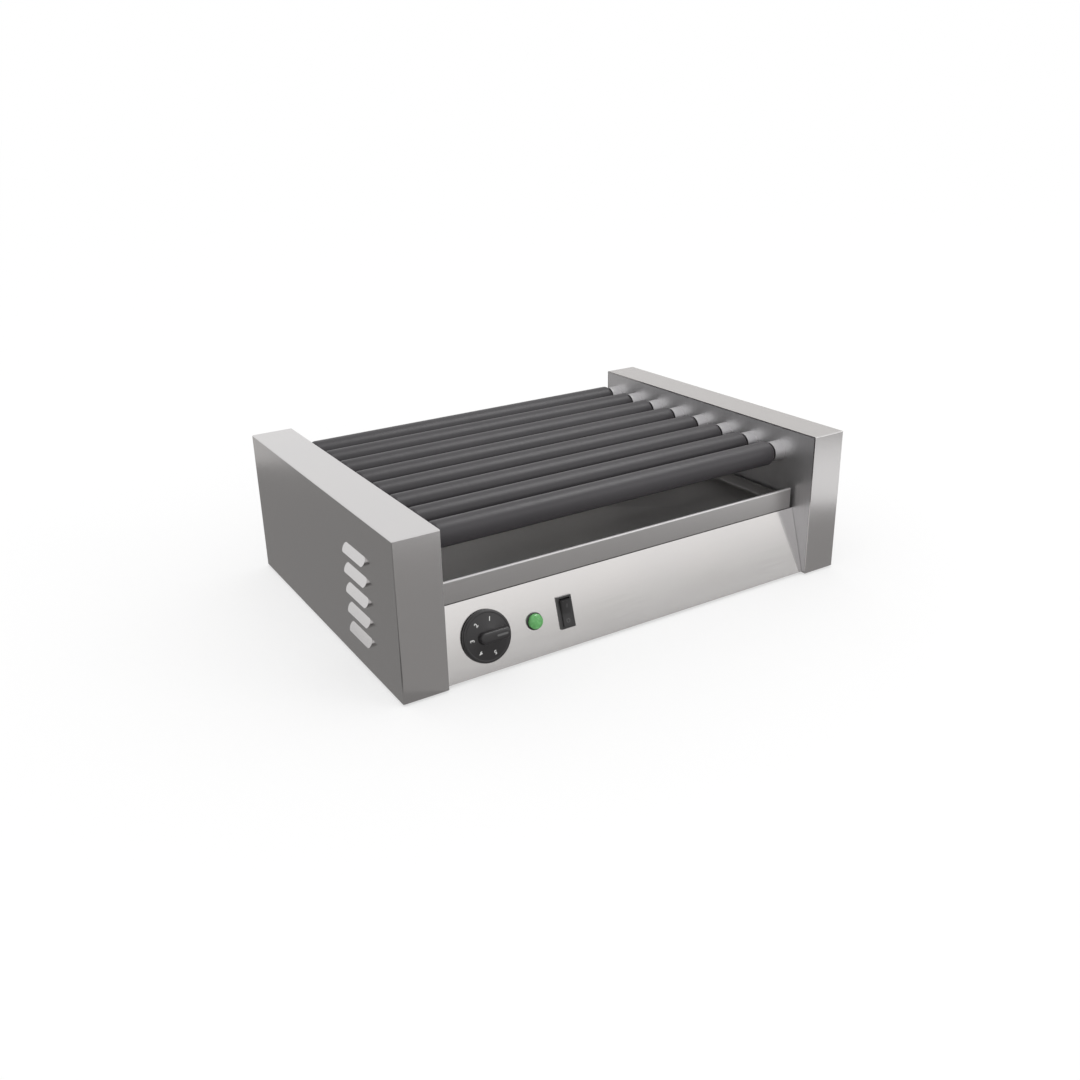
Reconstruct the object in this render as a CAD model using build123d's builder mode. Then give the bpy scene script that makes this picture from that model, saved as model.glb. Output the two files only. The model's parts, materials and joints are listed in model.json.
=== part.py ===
from build123d import *
import math
import os

os.makedirs("parts", exist_ok=True)

# Electric hot dog roller grill. Millimetres.
# Origin on the bench under the middle of the machine, +Z up.
# X runs along the rollers, the operator stands on the -Y side.

# ------------------------------------------------------------ driving sizes
overall_width = 500.0
overall_depth = 350.0
overall_height = 150.0
left_housing = 43.0
right_housing = 39.0
sheet = 1.2
plate = 2.0
fit_gap = 0.2

roller_count = 8
roller_pitch = 40.0
roller_radius = 12.5
roller_wall = 1.5
roller_height = 124.0
first_roller_setback = 50.0
roller_end_gap = 14.0
roller_end_round = 5.0
driven_roller = 5

journal_radius = 6.0
heater_radius = 3.25
running_gap = 0.05
press_gap = 0.03
hole_gap = 0.1

chain_pitch = 8.0
chain_roller_radius = 2.5
sprocket_teeth = 10
drive_chain_pitches = 11

fascia_bottom = (-170.5, 2.8)
fascia_top = (-151.0, 68.5)
control_height = 33.0

# ------------------------------------------------------------ places worked out from them
left_face = -overall_width / 2
right_face = overall_width / 2
left_inside = left_face + left_housing
right_inside = right_face - right_housing
front_face = -overall_depth / 2
back_face = overall_depth / 2

roller_left = left_inside + roller_end_gap
roller_right = right_inside - roller_end_gap
roller_centres = [
    (front_face + first_roller_setback + i * roller_pitch, roller_height)
    for i in range(roller_count)
]
driven_centre = roller_centres[driven_roller - 1]
motor_centre = (driven_centre[0], roller_height - drive_chain_pitches * chain_pitch)

sprocket_radius = chain_pitch / (2 * math.sin(math.pi / sprocket_teeth))
timing_plane = left_inside - 12.0
drive_plane = timing_plane - 10.0

base_left = left_inside + fit_gap
base_right = right_inside - fit_gap
base_middle = (base_left + base_right) / 2
base_width = base_right - base_left

shelf_top = fascia_top[1] - sheet
rear_panel_face = 151.2
pan_bottom = fascia_bottom[1] + sheet


# ------------------------------------------------------------ side housings
cover_bottom = 2.0
cover_bend = 1.2
cover_lip = 12.0

louvre_count = 5
louvre_spacing = 19.3
lowest_louvre = 30.2
louvre_middle = front_face + 78.6
louvre_length = 46.0
louvre_height = 8.2
louvre_slope = 28.0
louvre_rise = louvre_height * math.tan(math.radians(louvre_slope))
louvre_skin = 0.9
louvre_slot_margin = 7.0

cover_screw_radius = 1.5
cover_screw_head = 2.7
cover_screw_length = 8.0
cover_screw_heights = (35.0, 90.0)
screw_flange_reach = 14.0


def louvre_bottoms():
    return [lowest_louvre + i * louvre_spacing for i in range(louvre_count)]


def louvre_hood(side, z, inset):
    """Pressed-out hood with a sloping top and round ends, whose lower edge is at height z.

    side is -1 on the left cover and 1 on the right. inset is the sheet taken off for the hollow,
    which is open along the straight part of the lower edge.
    """
    wall = side * overall_width / 2
    centre = (wall, louvre_middle, z + louvre_height / 2)
    outward = Plane(origin=centre, x_dir=(0, 1, 0), z_dir=(side, 0, 0))
    slope = math.radians(louvre_slope)
    facing = Vector(side * math.cos(slope), 0, math.sin(slope))
    top_edge = Vector(wall, louvre_middle, z + louvre_height)
    ramp = Plane(origin=top_edge - facing * inset, x_dir=(0, 1, 0), z_dir=facing)
    with BuildPart() as hood:
        with BuildSketch(outward):
            SlotOverall(louvre_length - 2 * inset, louvre_height - 2 * inset)
            if inset > 0:
                with Locations((0, -side * louvre_height / 4)):
                    Rectangle(louvre_length - louvre_height - 2 * inset, louvre_height / 2)
        extrude(amount=louvre_rise)
        split(bisect_by=ramp, keep=Keep.BOTTOM)
    return hood.part


def cover_screw_planes(side):
    """Screw places on the back wall of a cover, facing backwards."""
    screw_x = (left_inside if side < 0 else right_inside) + side * (plate + screw_flange_reach / 2)
    return [
        Plane(origin=(screw_x, back_face, z), x_dir=(-1, 0, 0), z_dir=(0, 1, 0))
        for z in cover_screw_heights
    ]


def side_cover(side, inside):
    """Folded box that closes one end: outer wall, top, front, back and a lip along the bottom."""
    wall = side * overall_width / 2
    depth = abs(wall - inside)
    tall = overall_height - cover_bottom
    middle_x = (wall + inside) / 2
    hoods = [louvre_hood(side, z, 0) for z in louvre_bottoms()]
    hollows = [louvre_hood(side, z, louvre_skin) for z in louvre_bottoms()]
    with BuildPart() as cover:
        with BuildSketch(Plane.XY.offset(cover_bottom)):
            with Locations((middle_x, 0)):
                Rectangle(depth, overall_depth)
        extrude(amount=tall)
        outer_wall = cover.faces().sort_by(Axis.X)[0 if side < 0 else -1]
        top_wall = cover.faces().sort_by(Axis.Z)[-1]
        bends = outer_wall.edges().filter_by(Axis.Z) + top_wall.edges().filter_by(Axis.X)
        bends += outer_wall.edges().filter_by(Axis.Y).sort_by(Axis.Z)[-1]
        fillet(bends, radius=cover_bend)
        with BuildSketch(Plane.XY.offset(cover_bottom + sheet)):
            with Locations((middle_x - side * sheet, 0)):
                Rectangle(depth, overall_depth - 2 * sheet)
        extrude(amount=tall - 2 * sheet, mode=Mode.SUBTRACT)
        with BuildSketch(Plane.XY.offset(cover_bottom)):
            with Locations((middle_x - side * cover_lip, 0)):
                Rectangle(depth, overall_depth - 2 * cover_lip)
        extrude(amount=sheet, mode=Mode.SUBTRACT)
        for hood in hoods:
            add(hood)
        for hollow in hollows:
            add(hollow, mode=Mode.SUBTRACT)
        # Behind each hood the wall is cut through, so that air gets out.
        with BuildSketch(Plane.YZ.offset(wall - side * sheet)):
            with Locations(*[(louvre_middle, z) for z in louvre_bottoms()]):
                Rectangle(
                    louvre_length - 2 * louvre_slot_margin,
                    louvre_height - louvre_slot_margin / 2,
                    align=(Align.CENTER, Align.MIN),
                )
        extrude(amount=side * sheet, mode=Mode.SUBTRACT)
        with Locations(*cover_screw_planes(side)):
            CounterSinkHole(
                radius=cover_screw_radius + hole_gap,
                counter_sink_radius=cover_screw_head,
                depth=cover_screw_length,
            )
    return cover.part


left_cover_part = side_cover(-1, left_inside)
with BuildPart() as left_cover:
    add(left_cover_part)
left_cover.part.label = "left_cover"
export_step(left_cover.part, "parts/left_cover.step")

right_cover_part = side_cover(1, right_inside)
with BuildPart() as right_cover:
    add(right_cover_part)
right_cover.part.label = "right_cover"
export_step(right_cover.part, "parts/right_cover.step")

# Inner plates carry the roller bushes. A flange at the back takes the cover screws.
plate_margin = sheet + fit_gap
plate_bottom = cover_bottom + sheet + fit_gap
plate_top = overall_height - plate_margin
plate_flange_top = roller_height - 20
bush_body_radius = 8.0
motor_boss_radius = 8.0
motor_boss_gap = 0.5
motor_screw_count = 3
motor_screw_circle = 21.0
motor_screw_radius = 2.0
wire_hole_radius = 8.0
wire_hole_place = (-95.0, 45.0)


def inner_plate(side, inside):
    """Flat plate with a back flange; its visible face is at x = inside."""
    flange_middle = inside + side * (plate + screw_flange_reach) / 2
    with BuildPart() as panel:
        with BuildSketch(Plane.YZ.offset(inside)):
            with Locations((0, (plate_bottom + plate_top) / 2)):
                Rectangle(overall_depth - 2 * plate_margin, plate_top - plate_bottom)
            with Locations(*roller_centres):
                Circle(bush_body_radius + running_gap, mode=Mode.SUBTRACT)
            with Locations(wire_hole_place):
                Circle(wire_hole_radius, mode=Mode.SUBTRACT)
            if side < 0:
                with Locations(motor_centre):
                    Circle(motor_boss_radius + motor_boss_gap, mode=Mode.SUBTRACT)
                    with PolarLocations(motor_screw_circle, motor_screw_count, start_angle=90):
                        Circle(motor_screw_radius + fit_gap, mode=Mode.SUBTRACT)
        extrude(amount=side * plate)
        with BuildSketch(Plane.XY.offset(plate_bottom)):
            with Locations((flange_middle, back_face - plate_margin - plate / 2)):
                Rectangle(plate + screw_flange_reach, plate)
        extrude(amount=plate_flange_top - plate_bottom)
        with Locations(*cover_screw_planes(side)):
            Hole(radius=cover_screw_radius + running_gap, depth=cover_screw_length)
    return panel.part


left_plate_part = inner_plate(-1, left_inside)
with BuildPart() as left_inner_plate:
    add(left_plate_part)
left_inner_plate.part.label = "left_inner_plate"
export_step(left_inner_plate.part, "parts/left_inner_plate.step")

right_plate_part = inner_plate(1, right_inside)
with BuildPart() as right_inner_plate:
    add(right_plate_part)
right_inner_plate.part.label = "right_inner_plate"
export_step(right_inner_plate.part, "parts/right_inner_plate.step")


# ------------------------------------------------------------ base between the housings
def folded_edges(points, side):
    """Outline of a folded sheet: the points are its visible face, side is where the metal lies."""
    with BuildLine() as section:
        Polyline(*points)
        offset(amount=sheet, side=side)
    return section.edges()


fascia_lower_fold = 20.0
fascia_upper_fold = 15.0
lean = math.atan2(fascia_top[0] - fascia_bottom[0], fascia_top[1] - fascia_bottom[1])
fascia_plane = Plane(
    origin=(0, fascia_bottom[0], fascia_bottom[1]),
    x_dir=(1, 0, 0),
    z_dir=(0, -math.cos(lean), math.sin(lean)),
)
knob_place = (left_face + 88.0, control_height)
lamp_place = (left_face + 138.0, control_height)
switch_place = (left_face + 171.2, control_height)
neck_radius = 5.0
lamp_body_radius = 6.0
switch_cutout = (13.2, 27.8)

base_screw_radius = 1.9
front_screw_y = -156.0
rear_screw_y = 141.0
base_screw_x = (base_left + 30, base_right - 30)

fascia_edges = folded_edges(
    [
        (fascia_bottom[0] + fascia_lower_fold, fascia_bottom[1]),
        fascia_bottom,
        fascia_top,
        (fascia_top[0] + fascia_upper_fold, fascia_top[1]),
    ],
    Side.RIGHT,
)
with BuildPart() as front_fascia:
    with BuildSketch(Plane.YZ.offset(base_left)):
        make_face(fascia_edges)
    extrude(amount=base_width)
    with BuildSketch(fascia_plane.offset(-2 * sheet)):
        with Locations(knob_place):
            Circle(neck_radius + hole_gap)
        with Locations(lamp_place):
            Circle(lamp_body_radius + hole_gap)
        with Locations(switch_place):
            Rectangle(*switch_cutout)
    extrude(amount=4 * sheet, mode=Mode.SUBTRACT)
    with Locations(*[(x, front_screw_y, fascia_bottom[1] + sheet) for x in base_screw_x]):
        Hole(radius=base_screw_radius + running_gap, depth=2 * sheet)
front_fascia.part.label = "front_fascia"
export_step(front_fascia.part, "parts/front_fascia.step")

rear_panel_top = 95.0
rear_lower_fold = 18.0
rear_upper_fold = 10.0
vent_count = 16
vent_spacing = 9.0
vent_place = (base_middle + 60, 45.0)
vent_length = 34.0
vent_width = 4.0
gland_place = (-150.0, 35.0)
gland_thread_radius = 8.0
rear_edges = folded_edges(
    [
        (rear_panel_face - rear_lower_fold, fascia_bottom[1]),
        (rear_panel_face, fascia_bottom[1]),
        (rear_panel_face, rear_panel_top),
        (rear_panel_face - rear_upper_fold, rear_panel_top),
    ],
    Side.LEFT,
)
with BuildPart() as rear_panel:
    with BuildSketch(Plane.YZ.offset(base_left)):
        make_face(rear_edges)
    extrude(amount=base_width)
    with BuildSketch(Plane.XZ.offset(-rear_panel_face)):
        with Locations(gland_place):
            Circle(gland_thread_radius + hole_gap)
        with Locations(vent_place):
            with GridLocations(vent_spacing, 0, vent_count, 1):
                SlotOverall(vent_length, vent_width, rotation=90)
    extrude(amount=2 * sheet, mode=Mode.SUBTRACT)
    with Locations(*[(x, rear_screw_y, fascia_bottom[1] + sheet) for x in base_screw_x]):
        Hole(radius=base_screw_radius + running_gap, depth=2 * sheet)
rear_panel.part.label = "rear_panel"
export_step(rear_panel.part, "parts/rear_panel.step")

pan_front = -163.0
pan_back = 149.8
pan_wall = 6.0
pan_vent_places = [(base_middle + x, 35.0) for x in (-95.0, 95.0)]
pan_vent_count = 9
pan_vent_spacing = 10.0
pan_vent_length = 70.0
foot_inset = 42.0
foot_places = [
    (x, y) for x in (base_left + foot_inset, base_right - foot_inset) for y in (-132.0, 120.0)
]
foot_screw_radius = 1.9
base_screw_places = [(x, y) for x in base_screw_x for y in (front_screw_y, rear_screw_y)]
with BuildPart() as base_pan:
    with BuildSketch(Plane.XY.offset(pan_bottom)):
        with Locations((base_middle, (pan_front + pan_back) / 2)):
            Rectangle(base_width, pan_back - pan_front)
    extrude(amount=pan_wall)
    with BuildSketch(Plane.XY.offset(pan_bottom + sheet)):
        with Locations((base_middle, (pan_front + pan_back) / 2)):
            Rectangle(base_width - 2 * sheet, pan_back - pan_front - 2 * sheet)
    extrude(amount=pan_wall, mode=Mode.SUBTRACT)
    with BuildSketch(Plane.XY.offset(pan_bottom)):
        with Locations(*pan_vent_places):
            with GridLocations(pan_vent_spacing, 0, pan_vent_count, 1):
                SlotOverall(pan_vent_length, vent_width, rotation=90)
        with Locations(*foot_places):
            Circle(foot_screw_radius + running_gap)
        with Locations(*base_screw_places):
            Circle(base_screw_radius + running_gap)
    extrude(amount=sheet, mode=Mode.SUBTRACT)
base_pan.part.label = "base_pan"
export_step(base_pan.part, "parts/base_pan.step")

screw_head_height = 1.6
screw_head_radius = 3.2
screw_reach = 6.0
with BuildPart() as base_screws:
    with BuildSketch(Plane.XY.offset(fascia_bottom[1] - screw_head_height)):
        with Locations(*base_screw_places):
            Circle(screw_head_radius)
    extrude(amount=screw_head_height)
    with BuildSketch(Plane.XY.offset(fascia_bottom[1])):
        with Locations(*base_screw_places):
            Circle(base_screw_radius)
    extrude(amount=screw_reach)
base_screws.part.label = "base_screws"
export_step(base_screws.part, "parts/base_screws.step")

foot_radius = 12.0
foot_taper = 8.0
foot_recess = 2.6
foot_recess_radius = screw_head_radius + 0.6
with BuildPart() as feet:
    with BuildSketch():
        with Locations(*foot_places):
            Circle(foot_radius)
    extrude(amount=pan_bottom, taper=foot_taper)
    with BuildSketch():
        with Locations(*foot_places):
            Circle(foot_recess_radius)
    extrude(amount=foot_recess, mode=Mode.SUBTRACT)
    with BuildSketch():
        with Locations(*foot_places):
            Circle(foot_screw_radius + running_gap)
    extrude(amount=pan_bottom, mode=Mode.SUBTRACT)
feet.part.label = "feet"
export_step(feet.part, "parts/feet.step")

with BuildPart() as foot_screws:
    with BuildSketch(Plane.XY.offset(foot_recess - screw_head_height)):
        with Locations(*foot_places):
            Circle(screw_head_radius)
    extrude(amount=screw_head_height)
    with BuildSketch(Plane.XY.offset(foot_recess)):
        with Locations(*foot_places):
            Circle(foot_screw_radius)
    extrude(amount=screw_reach)
foot_screws.part.label = "foot_screws"
export_step(foot_screws.part, "parts/foot_screws.step")

with BuildPart() as cover_screws:
    for side in (-1, 1):
        for screw_plane in cover_screw_planes(side):
            with BuildSketch(screw_plane):
                Circle(cover_screw_head - hole_gap)
            with BuildSketch(screw_plane.offset(-sheet)):
                Circle(cover_screw_radius)
            loft()
            with BuildSketch(screw_plane.offset(-cover_screw_length)):
                Circle(cover_screw_radius)
            extrude(amount=cover_screw_length - sheet)
cover_screws.part.label = "cover_screws"
export_step(cover_screws.part, "parts/cover_screws.step")

# The shelf closes the base under the drip tray and keeps heat and grease off the works.
shelf_front = -149.0
shelf_back = 149.5
shelf_side_fold = 6.0
with BuildPart() as heat_shield:
    with BuildSketch(Plane.XY.offset(shelf_top - shelf_side_fold)):
        with Locations((base_middle, (shelf_front + shelf_back) / 2)):
            Rectangle(base_width, shelf_back - shelf_front)
    extrude(amount=shelf_side_fold)
    with BuildSketch(Plane.XY.offset(shelf_top - shelf_side_fold)):
        with Locations((base_middle, (shelf_front + shelf_back) / 2)):
            Rectangle(base_width - 2 * sheet, shelf_back - shelf_front)
    extrude(amount=shelf_side_fold - sheet, mode=Mode.SUBTRACT)
heat_shield.part.label = "heat_shield"
export_step(heat_shield.part, "parts/heat_shield.step")

runner_height = 1.5
runner_width = 8.0
runner_length = 280.0
runner_inset = 11.0
runner_middle_y = 5.0
with BuildPart() as tray_runners:
    with BuildSketch(Plane.XY.offset(shelf_top)):
        for runner_x in (base_left + runner_inset, base_right - runner_inset):
            with Locations((runner_x, runner_middle_y)):
                Rectangle(runner_width, runner_length)
    extrude(amount=runner_height)
tray_runners.part.label = "tray_runners"
export_step(tray_runners.part, "parts/tray_runners.step")

# ------------------------------------------------------------ drip tray
tray_gap = 3.8
tray_left = left_inside + tray_gap
tray_right = right_inside - tray_gap
tray_bottom = shelf_top + runner_height + fit_gap
tray_lip_face = -150.5
tray_back = 144.0
tray_wall = 12.0
lip_top = 90.5
bead_radius = 1.9
with BuildPart() as drip_tray:
    with BuildSketch(Plane.XY.offset(tray_bottom)):
        with Locations(((tray_left + tray_right) / 2, (tray_lip_face + tray_back) / 2)):
            Rectangle(tray_right - tray_left, tray_back - tray_lip_face)
    extrude(amount=tray_wall)
    with BuildSketch(Plane.XY.offset(tray_bottom + sheet)):
        with Locations(((tray_left + tray_right) / 2, (tray_lip_face + tray_back) / 2)):
            Rectangle(tray_right - tray_left - 2 * sheet, tray_back - tray_lip_face - 2 * sheet)
    extrude(amount=tray_wall, mode=Mode.SUBTRACT)
    with BuildSketch(Plane.YZ.offset(tray_left)):
        with Locations((tray_lip_face + sheet / 2, (tray_bottom + lip_top - bead_radius) / 2)):
            Rectangle(sheet, lip_top - bead_radius - tray_bottom)
        with Locations((tray_lip_face + bead_radius, lip_top - bead_radius)):
            Circle(bead_radius)
    extrude(amount=tray_right - tray_left)
drip_tray.part.label = "drip_tray"
export_step(drip_tray.part, "parts/drip_tray.step")


# ------------------------------------------------------------ rollers and their bushes
bush_collar_radius = 10.5
bush_collar_length = roller_end_gap - 1.0
bush_reach = plate + 3.0


def bushes(side, inside):
    """Plain bushes in one inner plate: a collar on the cooking side and a body through the plate."""
    with BuildPart() as ring_set:
        with BuildSketch(Plane.YZ.offset(inside)):
            with Locations(*roller_centres):
                Circle(bush_collar_radius)
        extrude(amount=-side * bush_collar_length)
        with BuildSketch(Plane.YZ.offset(inside)):
            with Locations(*roller_centres):
                Circle(bush_body_radius)
        extrude(amount=side * bush_reach)
        with BuildSketch(Plane.YZ.offset(inside - side * bush_collar_length)):
            with Locations(*roller_centres):
                Circle(journal_radius + running_gap)
        extrude(amount=side * (bush_collar_length + bush_reach), mode=Mode.SUBTRACT)
    return ring_set.part


left_bushes = bushes(-1, left_inside)
with BuildPart() as left_bushings:
    add(left_bushes)
left_bushings.part.label = "left_bushings"
export_step(left_bushings.part, "parts/left_bushings.step")

right_bushes = bushes(1, right_inside)
with BuildPart() as right_bushings:
    add(right_bushes)
right_bushings.part.label = "right_bushings"
export_step(right_bushings.part, "parts/right_bushings.step")

roller_length = roller_right - roller_left
roller_middle = (roller_left + roller_right) / 2
roller_bore = roller_radius - roller_wall
plug_length = 4.0
journal_bore_radius = heater_radius + 0.95
right_journal_end = right_inside + 8.0
idle_journal_end = timing_plane - 3.0
driven_journal_end = drive_plane - 3.0
for number, centre in enumerate(roller_centres, start=1):
    along_roller = Plane(origin=(roller_middle, *centre), x_dir=(1, 0, 0), z_dir=(0, -1, 0))
    # Drawn tube whose ends are rolled inwards round the journals.
    with BuildPart() as roller_tube:
        with BuildSketch(along_roller):
            RectangleRounded(roller_length, 2 * roller_radius, roller_end_round)
            RectangleRounded(
                roller_length - 2 * roller_wall,
                2 * roller_bore,
                roller_end_round - roller_wall,
                mode=Mode.SUBTRACT,
            )
            Rectangle(roller_length, 2 * (journal_radius + press_gap), mode=Mode.SUBTRACT)
            Rectangle(
                roller_length, roller_radius, align=(Align.CENTER, Align.MAX), mode=Mode.SUBTRACT
            )
        revolve(axis=Axis((0, *centre), (1, 0, 0)))
    roller_tube.part.label = f"roller_tube_{number}"
    export_step(roller_tube.part, f"parts/roller_tube_{number}.step")

    left_end = driven_journal_end if number == driven_roller else idle_journal_end
    with BuildPart() as roller_journals:
        for face_x, end_x, inward in ((roller_left, left_end, 1), (roller_right, right_journal_end, -1)):
            plug_x = face_x + inward * roller_end_round
            plug_end_x = plug_x + inward * plug_length
            with BuildSketch(Plane.YZ.offset(plug_x)):
                with Locations(centre):
                    Circle(roller_bore - press_gap)
            extrude(amount=plug_end_x - plug_x)
            with BuildSketch(Plane.YZ.offset(plug_x)):
                with Locations(centre):
                    Circle(journal_radius)
            extrude(amount=end_x - plug_x)
            with BuildSketch(Plane.YZ.offset(end_x)):
                with Locations(centre):
                    Circle(journal_bore_radius)
            extrude(amount=plug_end_x - end_x, mode=Mode.SUBTRACT)
    roller_journals.part.label = f"roller_journals_{number}"
    export_step(roller_journals.part, f"parts/roller_journals_{number}.step")

# ------------------------------------------------------------ heating elements
insulator_radius = 5.5
insulator_length = 8.0
left_rail = left_inside - 31.0
right_rail = right_inside + 18.0
rail_sheet = 1.5
heater_ends = (left_rail - 4.0, right_rail + 6.0)
terminal_radius = heater_radius / 2
terminal_reach = 3.0
with BuildPart() as heating_elements:
    with BuildSketch(Plane.YZ.offset(heater_ends[0])):
        with Locations(*roller_centres):
            Circle(heater_radius)
    extrude(amount=heater_ends[1] - heater_ends[0])
    with BuildSketch(Plane.YZ.offset(heater_ends[0] - terminal_reach)):
        with Locations(*roller_centres):
            Circle(terminal_radius)
    extrude(amount=heater_ends[1] - heater_ends[0] + 2 * terminal_reach)
heating_elements.part.label = "heating_elements"
export_step(heating_elements.part, "parts/heating_elements.step")

insulator_starts = (heater_ends[0] + 1.0, heater_ends[1] - 1.0 - insulator_length)
with BuildPart() as heater_insulators:
    for start_x in insulator_starts:
        with BuildSketch(Plane.YZ.offset(start_x)):
            with Locations(*roller_centres):
                Circle(insulator_radius)
                Circle(heater_radius + running_gap, mode=Mode.SUBTRACT)
        extrude(amount=insulator_length)
heater_insulators.part.label = "heater_insulators"
export_step(heater_insulators.part, "parts/heater_insulators.step")

rail_height = 20.0
rail_overhang = 13.0
rail_length = roller_centres[-1][0] - roller_centres[0][0] + 2 * rail_overhang
rail_middle = ((roller_centres[0][0] + roller_centres[-1][0]) / 2, roller_height)
rail_foot_places = (rail_middle[0] - 130, rail_middle[0] + 130)
rail_foot_width = 16.0
rail_foot_drop = 23.0
rail_leg_height = rail_foot_drop - rail_height / 2
with BuildPart() as heater_rails:
    for rail_x, side, plate_x in (
        (left_rail, -1, left_inside - plate),
        (right_rail, 1, right_inside + plate),
    ):
        outer_x = rail_x + side * rail_sheet
        with BuildSketch(Plane.YZ.offset(rail_x)):
            with Locations(rail_middle):
                Rectangle(rail_length, rail_height)
            with Locations(*[(y, roller_height - rail_foot_drop) for y in rail_foot_places]):
                Rectangle(rail_foot_width, rail_leg_height, align=(Align.CENTER, Align.MIN))
            with Locations(*roller_centres):
                Circle(insulator_radius + running_gap, mode=Mode.SUBTRACT)
        extrude(amount=side * rail_sheet)
        with BuildSketch(Plane.XY.offset(roller_height - rail_foot_drop)):
            with Locations(*[((outer_x + plate_x) / 2, y) for y in rail_foot_places]):
                Rectangle(abs(outer_x - plate_x), rail_foot_width)
        extrude(amount=rail_sheet)
heater_rails.part.label = "heater_rails"
export_step(heater_rails.part, "parts/heater_rails.step")

# ------------------------------------------------------------ chain drive
tooth_width = 2.6
tooth_reach = 1.36
tooth_flare = 3.2
tooth_cut_depth = 3.0
tip_radius = sprocket_radius + tooth_reach
seat_radius = chain_roller_radius + 0.1
hub_radius = 8.5
hub_length = 3.0


def sprocket(centre, plane_x, gap_angle, bore_radius):
    """Sprocket with a hub towards the rollers. A tooth gap stands at gap_angle."""
    with BuildPart() as wheel:
        with BuildSketch(Plane.YZ.offset(plane_x - tooth_width / 2)):
            with Locations(centre):
                Circle(tip_radius)
                with PolarLocations(sprocket_radius, sprocket_teeth, start_angle=gap_angle):
                    Circle(seat_radius, mode=Mode.SUBTRACT)
                    Polygon(
                        (0, -seat_radius),
                        (tooth_cut_depth, -seat_radius - tooth_flare),
                        (tooth_cut_depth, seat_radius + tooth_flare),
                        (0, seat_radius),
                        align=None,
                        mode=Mode.SUBTRACT,
                    )
        extrude(amount=tooth_width)
        with BuildSketch(Plane.YZ.offset(plane_x)):
            with Locations(centre):
                Circle(hub_radius)
        extrude(amount=tooth_width / 2 + hub_length)
        with BuildSketch(Plane.YZ.offset(plane_x - tooth_width)):
            with Locations(centre):
                Circle(bore_radius + press_gap)
        extrude(amount=2 * tooth_width + hub_length, mode=Mode.SUBTRACT)
    return wheel.part


for number, centre in enumerate(roller_centres, start=1):
    wheel_part = sprocket(centre, timing_plane, 90, journal_radius)
    with BuildPart() as roller_sprocket:
        add(wheel_part)
    roller_sprocket.part.label = f"roller_sprocket_{number}"
    export_step(roller_sprocket.part, f"parts/roller_sprocket_{number}.step")

driven_part = sprocket(driven_centre, drive_plane, 0, journal_radius)
with BuildPart() as driven_sprocket:
    add(driven_part)
driven_sprocket.part.label = "driven_sprocket"
export_step(driven_sprocket.part, "parts/driven_sprocket.step")

motor_shaft_radius = 4.0
motor_sprocket_part = sprocket(motor_centre, drive_plane, 0, motor_shaft_radius)
with BuildPart() as motor_sprocket:
    add(motor_sprocket_part)
motor_sprocket.part.label = "motor_sprocket"
export_step(motor_sprocket.part, "parts/motor_sprocket.step")

link_sheet = 0.8
link_half_width = 1.5
link_layer = 0.95
inner_link_height = 7.1
outer_link_height = 6.6
pin_radius = 1.15
pin_head = 0.6


def chain_link(inner):
    """One link with its first pin at the origin and its second a pitch along Y."""
    plate_start = link_half_width if inner else link_half_width + link_layer
    plate_height = inner_link_height if inner else outer_link_height
    with BuildPart() as link:
        for start_x in (plate_start, -plate_start - link_sheet):
            with BuildSketch(Plane.YZ.offset(start_x)):
                with Locations((chain_pitch / 2, 0)):
                    SlotCenterToCenter(chain_pitch, plate_height)
            extrude(amount=link_sheet)
        reach = link_half_width if inner else plate_start + link_sheet + pin_head
        with BuildSketch(Plane.YZ.offset(-reach)):
            with Locations((0, 0), (chain_pitch, 0)):
                Circle(chain_roller_radius if inner else pin_radius)
        extrude(amount=2 * reach)
        if inner:
            with BuildSketch(Plane.YZ.offset(-plate_start - link_sheet)):
                with Locations((0, 0), (chain_pitch, 0)):
                    Circle(pin_radius + hole_gap)
            extrude(amount=2 * (plate_start + link_sheet), mode=Mode.SUBTRACT)
    return link.part


def chain_pins(first, last):
    """Pin centres, in order, of a chain stretched round two equal sprockets."""
    along = (last - first).normalized()
    side = along.rotate(Axis.Z, 90)
    run = round((last - first).length / chain_pitch)
    step = 360 / sprocket_teeth
    turns = range(1, sprocket_teeth // 2)
    pins = [first + side * sprocket_radius + along * (chain_pitch * k) for k in range(run + 1)]
    pins += [last + side.rotate(Axis.Z, -step * k) * sprocket_radius for k in turns]
    pins += [last - side * sprocket_radius - along * (chain_pitch * k) for k in range(run + 1)]
    pins += [first - side.rotate(Axis.Z, -step * k) * sprocket_radius for k in turns]
    return pins


def chain(first, last, plane_x):
    """Alternating inner and outer links, each its own solid."""
    pins = chain_pins(Vector(*first), Vector(*last))
    links = []
    for k, pin in enumerate(pins):
        heading = pins[(k + 1) % len(pins)] - pin
        turn = math.degrees(math.atan2(heading.Y, heading.X))
        master = inner_link if k % 2 == 0 else outer_link
        links.append(master.moved(Location((plane_x, pin.X, pin.Y), (turn, 0, 0))))
    return links


inner_link = chain_link(True)
outer_link = chain_link(False)

timing_chain = Compound(children=chain(roller_centres[0], roller_centres[-1], timing_plane))
timing_chain.label = "timing_chain"
export_step(timing_chain, "parts/timing_chain.step")

drive_chain = Compound(children=chain(driven_centre, motor_centre, drive_plane))
drive_chain.label = "drive_chain"
export_step(drive_chain, "parts/drive_chain.step")

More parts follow.
